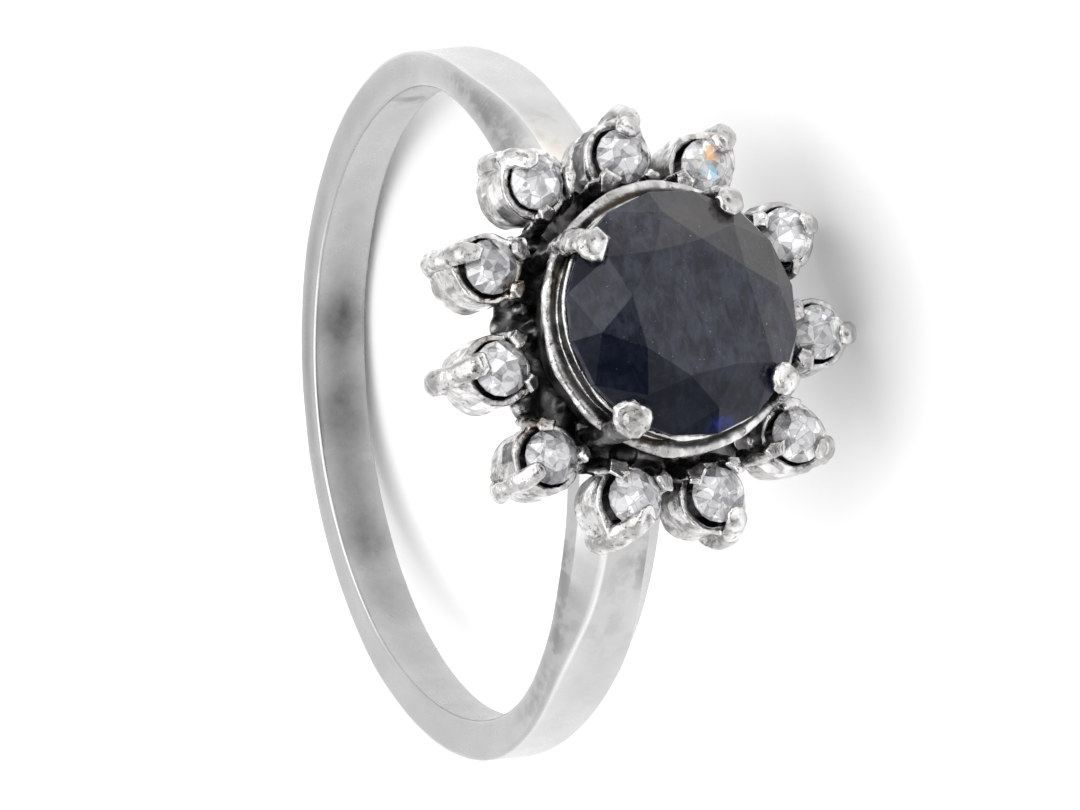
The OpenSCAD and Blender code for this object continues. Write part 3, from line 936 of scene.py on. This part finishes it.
def build_diamond(i, stone, material):
    """An old cut with a table, eight bezels and sixteen halves: the wedges of its table stand
    for the lower facets seen through it."""
    n = SIDES_OF_CUT
    girdle = girdle_of(stone)
    table_r = stone.r * SIDE_TABLE
    start = uniform(0, 45)
    at = (stone.y, stone.z)
    points = (ring(table_r, stone.top, n, start, *at)
              + ring(stone.r, girdle + SIDE_GIRDLE / 2, 2 * n, start, *at)
              + ring(stone.r, girdle - SIDE_GIRDLE / 2, 2 * n, start, *at)
              + [polar(stone.top, table_r * 0.3, start + 50, *at), polar(stone.low, 0, 0, *at)])
    u, v, heart, tip = n, 3 * n, 5 * n, 5 * n + 1
    faces, tones = [], []
    for k in range(n):
        k1, e, o, e1 = (k + 1) % n, 2 * k, 2 * k + 1, (2 * k + 2) % (2 * n)
        faces += [(k, k1, heart), (k, k1, u + o), (k, u + e, u + o), (k1, u + o, u + e1),
                  (u + e, u + o, v + o, v + e), (u + o, u + e1, v + e1, v + o),
                  (v + e, v + o, tip), (v + o, v + e1, tip)]
        # Each facet's tone is a painted reflection
        tones += [choice(TABLE_TONES[i == STARRY]), choice((0.3, 0.55, 0.8)),
                  choice((0.2, 0.45, 0.7)), choice((0.2, 0.45, 0.7)),
                  0.3, 0.3, 0.5, 0.5]
    tones = [tone + STONE_TONES[i - 1] for tone in tones]
    obj = mesh_object(f"diamond_{i:02d}", points, outward(points, faces))
    store(obj, "tone", tones, "FACE")
    finished(obj, material, [f"side_stone_{i:02d}"], smooth=False)


# Painted shade by place: how much other metal shuts in each point, for the materials to darken it
# with tarnish and painted shade

def shut_in(reach=1.3):
    """Stores on each piece how much of its surroundings other metal hides within a reach."""
    count = 32
    golden = pi * (3 - sqrt(5))
    ways = []
    for i in range(count):
        x = 1 - 2 * (i + 0.5) / count
        s = sqrt(1 - x * x)
        ways.append((x, s * cos(golden * i), s * sin(golden * i)))
    ways = np.array(ways)
    points, faces = [], []
    for obj in made:
        start = len(points)
        points += [v.co.copy() for v in obj.data.vertices]
        faces += [[start + i for i in p.vertices] for p in obj.data.polygons]
    tree = BVHTree.FromPolygons(points, faces)
    vectors = [Vector(w) for w in ways]
    for obj in made:
        normals = own_normals(obj)
        facing = normals @ ways.T
        starts = own_points(obj) + normals * 0.04
        shut = np.zeros(len(starts))
        for i, start in enumerate(starts):
            origin = Vector(start)
            total = hidden = 0.0
            for j in np.nonzero(facing[i] > 0.15)[0]:
                weight = facing[i][j]
                total += weight
                if tree.ray_cast(origin, vectors[j], reach)[0] is not None:
                    hidden += weight
            shut[i] = hidden / max(total, 0.01)
        store(obj, "shut", shut)


# Materials

class Surface:
    """A material's node tree, with a short way to add and join nodes."""

    def __init__(self, name):
        self.material = bpy.data.materials.new(name)
        self.material.use_nodes = True
        self.nodes = self.material.node_tree.nodes
        self.links = self.material.node_tree.links
        self.shader = self.nodes["Principled BSDF"]

    def add(self, kind, inputs=None, **settings):
        node = self.nodes.new("ShaderNode" + kind)
        for key, value in settings.items():
            setattr(node, key, value)
        for key, value in (inputs or {}).items():
            self.set(node.inputs[key], value)
        return node

    def set(self, socket, value):
        if isinstance(value, bpy.types.NodeSocket):
            self.links.new(value, socket)
        else:
            socket.default_value = value

    def out(self, name, value):
        self.set(self.shader.inputs[name], value)

    def attribute(self, name, output="Fac"):
        return self.add("Attribute", attribute_name=name).outputs[output]

    def math(self, operation, a, b=0.0, clamp=False):
        return self.add("Math", {0: a, 1: b}, operation=operation, use_clamp=clamp).outputs[0]

    def plus(self, total, *more):
        for value in more:
            total = self.math("ADD", total, value)
        return total

    def times(self, a, b, clamp=False):
        return self.math("MULTIPLY", a, b, clamp)

    def sway(self, value, amount):
        """How far a noise lies above or below its middle, times an amount."""
        return self.times(self.math("SUBTRACT", value, 0.5), amount)

    def ramp(self, value, low, high, to_low=0.0, to_high=1.0, smooth=True):
        kind = "SMOOTHSTEP" if smooth else "LINEAR"
        inputs = {"Value": value, "From Min": low, "From Max": high,
                  "To Min": to_low, "To Max": to_high}
        return self.add("MapRange", inputs, interpolation_type=kind).outputs[0]

    def noise(self, scale, detail=3.0, roughness=0.5, distortion=0.0, vector=None):
        """Soft noise over the piece's own places, or over another vector."""
        inputs = {"Vector": vector or self.attribute("place", "Vector"), "Scale": scale,
                  "Detail": detail, "Roughness": roughness, "Distortion": distortion}
        return self.add("TexNoise", inputs).outputs["Fac"]

    def cells(self, vector, scale, feature="F1", output="Color"):
        node = self.add("TexVoronoi", {"Vector": vector, "Scale": scale}, feature=feature)
        return node.outputs[output]

    def distance(self, vector, point):
        inputs = {0: vector, 1: tuple(point)}
        return self.add("VectorMath", inputs, operation="DISTANCE").outputs["Value"]

    def mix(self, factor, a, b):
        return self.add("Mix", {0: factor, 6: a, 7: b}, data_type="RGBA").outputs[2]

    def bump(self, height, distance, strength):
        inputs = {"Height": height, "Distance": distance, "Strength": strength}
        return self.add("Bump", inputs).outputs[0]


def grey(value, warmth=0.0):
    return (value * (1 + warmth), value, value * (1 - warmth), 1)


def tarnish_and_shade(s):
    """The colour of the silver's dark tarnish and painted shade in its hollows, with painted glints
    in it.
    """
    black = s.mix(s.ramp(s.noise(1.5), 0.36, 0.68), grey(0.07, -0.02), grey(0.18, 0.01))
    painted_glints = s.ramp(s.noise(2.6, 3, 0.55), 0.58, 0.70)
    return s.mix(s.times(painted_glints, 0.55), black, (0.52, 0.50, 0.48, 1))


def band_silver():
    """Smooth satin silver with cloudy stains, painted shade, and a ridge that is worn bright with a
    painted highlight.
    """
    s = Surface("band_silver")
    cloud = s.noise(1.9, 4, 0.55)
    haze = s.noise(0.7, 2)
    clean = s.mix(s.ramp(haze, 0.3, 0.7), grey(0.56), grey(0.51, 0.004))
    # Painted shade, stored on the band, darkens the clean silver
    painted_shading = s.times(s.attribute("painted_shading"), s.ramp(cloud, 0.25, 0.75, 0.9, 1.1))
    shaded = s.mix(painted_shading, clean, grey(0.03))
    blobs = s.ramp(s.plus(cloud, s.times(s.attribute("stain"), 0.12)), 0.46, 0.66, 0.12, 1.0)
    stained = s.times(s.attribute("stain"), blobs)
    colour = s.mix(s.times(stained, 0.62), shaded, grey(0.16))
    colour = s.mix(s.attribute("cream"), colour, (0.86, 0.80, 0.70, 1))
    # Worn ridge with a painted highlight
    colour = s.mix(s.times(s.attribute("ridge"), 0.85), colour, grey(0.95))
    # Tarnish and painted shade darken the hollows that other metal hides
    depth = s.plus(s.attribute("shut"), s.sway(cloud, 0.3))
    crevice = s.ramp(depth, 0.50, 0.95)
    s.out("Base Color", s.mix(crevice, colour, tarnish_and_shade(s)))
    s.out("Metallic", 1.0)
    fine = s.noise(5)
    rough = s.plus(s.ramp(fine, 0.3, 0.7, 0.27, 0.31), s.times(stained, 0.15))
    s.out("Roughness", s.math("SUBTRACT", rough, s.times(s.attribute("ridge"), 0.08)))
    s.out("Normal", s.bump(s.plus(cloud, s.times(fine, 0.1)), 0.008 * MM, 0.5))
    return s.material


def setting_silver():
    """Worn cast silver: bright where it stands out, from wear and a painted highlight, pitted, and
    dark in its recesses from tarnish and painted shade.
    """
    s = Surface("setting_silver")
    bent = s.attribute("bend")
    broad = s.noise(1.3)
    blotch = s.noise(3.4, 4, 0.55)
    grain = s.noise(11)
    # Tarnish and painted shade gather where the metal is shut in, deep or hollow
    depth = s.plus(s.attribute("shut"), s.times(s.attribute("deep"), 0.8), s.sway(blotch, 0.5),
                   s.times(bent, 2.6))
    crevice = s.ramp(depth, 0.40, 0.95)
    clean = s.mix(s.ramp(broad, 0.38, 0.62), grey(0.73, 0.004), grey(0.43, 0.015))
    cloudy = s.mix(s.ramp(blotch, 0.45, 0.66), clean, grey(0.33, 0.02))
    pits = s.times(s.ramp(s.noise(6.5, 2), 0.63, 0.70), 0.75)
    pitted = s.mix(pits, cloudy, grey(0.09, 0.05))
    # Worn bright and painted with a highlight where the skin stands out
    edges = s.times(s.ramp(s.times(bent, -1.0), 0.05, 0.15),
                   s.ramp(s.noise(2.4), 0.36, 0.56, 0.25, 1.0))
    worn = s.mix(edges, pitted, grey(0.90))
    colour = s.mix(crevice, worn, tarnish_and_shade(s))
    brown = s.attribute("brown")
    patchy = s.ramp(blotch, 0.35, 0.6, 0.5, 1.0)
    colour = s.mix(s.times(brown, patchy, True), colour, (0.20, 0.105, 0.065, 1))
    golden = s.times(s.times(brown, -1.0), patchy, True)
    s.out("Base Color", s.mix(golden, colour, (0.62, 0.43, 0.24, 1)))
    s.out("Metallic", 1.0)
    rough = s.plus(s.ramp(blotch, 0.3, 0.7, 0.13, 0.27), s.times(crevice, 0.15))
    s.out("Roughness", rough)
    s.out("Normal", s.bump(s.plus(s.times(grain, 0.12), blotch), 0.05 * MM, 0.8))
    return s.material


def sapphire():
    """Near black, dark blue stone with mottled silk inside and flat, shiny facets, whose tones are
    painted reflections, and a painted glow of blue at one side.
    """
    s = Surface("sapphire")
    place = s.attribute("place", "Vector")
    tone = s.attribute("tone")
    stretched = s.add("Mapping", {"Vector": place, "Scale": (1, 0.6, 1.2)}).outputs[0]
    silk = s.noise(3.2, 6, 0.68, 0.6, stretched)
    broad = s.noise(1.0)
    specks = s.noise(9, 2)
    inside = s.ramp(s.plus(s.times(silk, 0.6), s.times(broad, 0.4)), 0.38, 0.66)
    # The facets' tones are painted reflections: dark ones turn near black, pale ones grey
    level = s.times(inside, s.ramp(tone, 0.1, 0.4, 0.25, 1.0))
    level = s.times(level, s.ramp(tone, 0.44, 0.62, 1.0, 0.45))
    body = s.mix(level, (0.003, 0.004, 0.010, 1), (0.034, 0.038, 0.058, 1))
    pale = s.mix(inside, (0.028, 0.026, 0.027, 1), (0.046, 0.043, 0.044, 1))
    body = s.mix(s.ramp(tone, 0.42, 0.56), body, pale)
    bright = s.times(s.ramp(specks, 0.72, 0.75), s.ramp(tone, 0.1, 0.5, 0.1, 0.5))
    colour = s.mix(bright, body, (0.22, 0.28, 0.40, 1))
    # A painted glow of blue light through the stone near its girdle
    spot = s.distance(place, polar(GIRDLE_H, GLOW_R, GLOW_WAY))
    glow = s.times(s.ramp(spot, 0.1, 0.6, 1.0, 0.0), s.ramp(silk, 0.34, 0.60))
    s.out("Base Color", s.mix(glow, colour, (0.012, 0.03, 0.24, 1)))
    s.out("Specular IOR Level", s.ramp(tone, 0.0, 1.0, 0.01, 0.54, False))
    s.out("Roughness", s.ramp(silk, 0.3, 0.7, 0.06, 0.16))
    s.out("IOR", 1.77)
    return s.material


def diamond():
    """A bright, slightly milky stone: broken into light, grey and a few dark patches of painted
    reflection, as the facets below show through those above."""
    s = Surface("diamond")
    place = s.attribute("place", "Vector")
    tone = s.attribute("tone")
    cloud = s.noise(3.5)
    wide = s.add("SeparateColor", {"Color": s.cells(place, 2.6)}).outputs[0]
    small = s.add("SeparateColor", {"Color": s.cells(place, 5.2)}).outputs[1]
    lines = s.cells(place, 2.6, "DISTANCE_TO_EDGE", "Distance")
    painted_shading = s.plus(s.times(tone, 0.5), s.times(wide, 0.3), s.times(small, 0.26),
                   s.sway(cloud, 0.1))
    dark = s.mix(s.ramp(painted_shading, 0.20, 0.27), (0.05, 0.05, 0.055, 1), (0.27, 0.27, 0.30, 1))
    body = s.mix(s.ramp(painted_shading, 0.25, 0.60), dark, (0.66, 0.66, 0.67, 1))
    # Painted highlights: the brightest patches turn near white
    body = s.mix(s.ramp(painted_shading, 0.71, 0.74), body, (0.97, 0.97, 0.98, 1))
    body = s.mix(s.ramp(lines, 0.01, 0.035, 0.5, 0.0), body, (0.16, 0.16, 0.17, 1))
    stone = SIDES[FIERY - 1]
    for colour, y, z in SPARKS:
        spot = s.distance(place, (stone.top, stone.y + y, stone.z + z))
        near = s.plus(spot, s.sway(small, 0.3))
        body = s.mix(s.ramp(near, 0.14, 0.18, 0.9, 0.0), body, colour)
    s.out("Base Color", body)
    s.out("Roughness", s.ramp(cloud, 0.3, 0.7, 0.02, 0.07))
    s.out("IOR", 1.9)
    s.out("Transmission Weight", s.ramp(painted_shading, 0.3, 0.75, 0.45, 0.0))
    return s.material


def paper():
    s = Surface("pale_floor")
    place = s.add("TexCoord").outputs["Object"]
    s.out("Base Color", s.mix(s.noise(30, 3, 0.55, vector=place), grey(0.93), grey(0.95)))
    s.out("Roughness", 0.8)
    s.out("Specular IOR Level", 0.2)
    return s.material


# Stage

def in_row(point):
    """A point of the ring's own frame, in the row frame and in metres."""
    return Vector(np.array(point) @ OWN) * MM


def build_camera():
    data = bpy.data.cameras.new("camera")
    data.lens = LENS_MM
    data.sensor_width = SENSOR_MM
    data.clip_end = 10
    camera = placed("camera", data)
    place, aim = in_row(CAMERA_PLACE), in_row(CAMERA_AIM)
    back = (place - aim).normalized()
    right = Vector(ACROSS).cross(back).normalized()
    up = back.cross(right)
    turn = Matrix.Rotation(radians(CAMERA_ROLL), 3, back)
    axes = Matrix((turn @ right, turn @ up, back)).transposed()
    camera.matrix_world = Matrix.Translation(place) @ axes.to_4x4()
    bpy.context.scene.camera = camera


def build_floor():
    half = FLOOR_SIZE / 2
    low = cad_box[0][2]
    corners = [(-half, -half, low), (half, -half, low), (half, half, low), (-half, half, low)]
    floor = mesh_object("floor", corners, [(0, 1, 2, 3)])
    floor.data.materials.append(paper())


def build_top_light():
    """A soft square light that looks down at the middle of the finger hole."""
    data = bpy.data.lights.new("top_light", "AREA")
    data.size = TOP_SIZE
    data.energy = TOP_POWER
    light = placed("top_light", data)
    turn = TOP_PLACE.normalized().to_track_quat("Z", "Y").to_matrix().to_4x4()
    light.matrix_world = Matrix.Translation(TOP_PLACE) @ turn


def build_tent():
    """A white tent all round, with the dark opening that the photograph is taken through."""
    world = bpy.data.worlds.new("studio")
    bpy.context.scene.world = world
    world.use_nodes = True
    nodes, links = world.node_tree.nodes, world.node_tree.links
    near = nodes.new("ShaderNodeVectorMath")
    near.operation = "DOT_PRODUCT"
    links.new(nodes.new("ShaderNodeTexCoord").outputs["Generated"], near.inputs[0])
    near.inputs[1].default_value = in_row(OPENING_WAY).normalized()
    ramp = nodes.new("ShaderNodeValToRGB")
    links.new(near.outputs["Value"], ramp.inputs[0])
    stops = ramp.color_ramp.elements
    stops[0].position = cos(radians(OPENING_ANGLE + OPENING_SOFT))
    stops[1].position = cos(radians(OPENING_ANGLE))
    stops[0].color = grey(TENT_LIGHT)
    stops[1].color = grey(OPENING_LIGHT)
    links.new(ramp.outputs[0], nodes["Background"].inputs["Color"])
    bpy.context.scene.view_settings.view_transform = "Standard"


def lay_down(obj):
    """Takes a piece from the ring's own frame, in millimetres, to the row frame, in metres."""
    turn = Matrix(OWN.tolist()).transposed().to_4x4()
    obj.data.transform(turn @ Matrix.Scale(MM, 4))
    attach(obj, BODY)


def main():
    build_camera()
    build_floor()
    build_top_light()
    build_tent()
    build_band(band_silver())
    metal = setting_silver()
    build_collet(metal)
    build_gallery(metal)
    for i, angle in enumerate(CLAW_ANGLES, 1):
        build_claw(i, angle, metal)
    for i, (stone, row) in enumerate(zip(SIDES, PETALS), 1):
        build_petal(i, stone, row, metal)
    shut_in()
    build_sapphire(sapphire())
    clear = diamond()
    for i, stone in enumerate(SIDES, 1):
        build_diamond(i, stone, clear)
    for obj in made:
        lay_down(obj)


main()
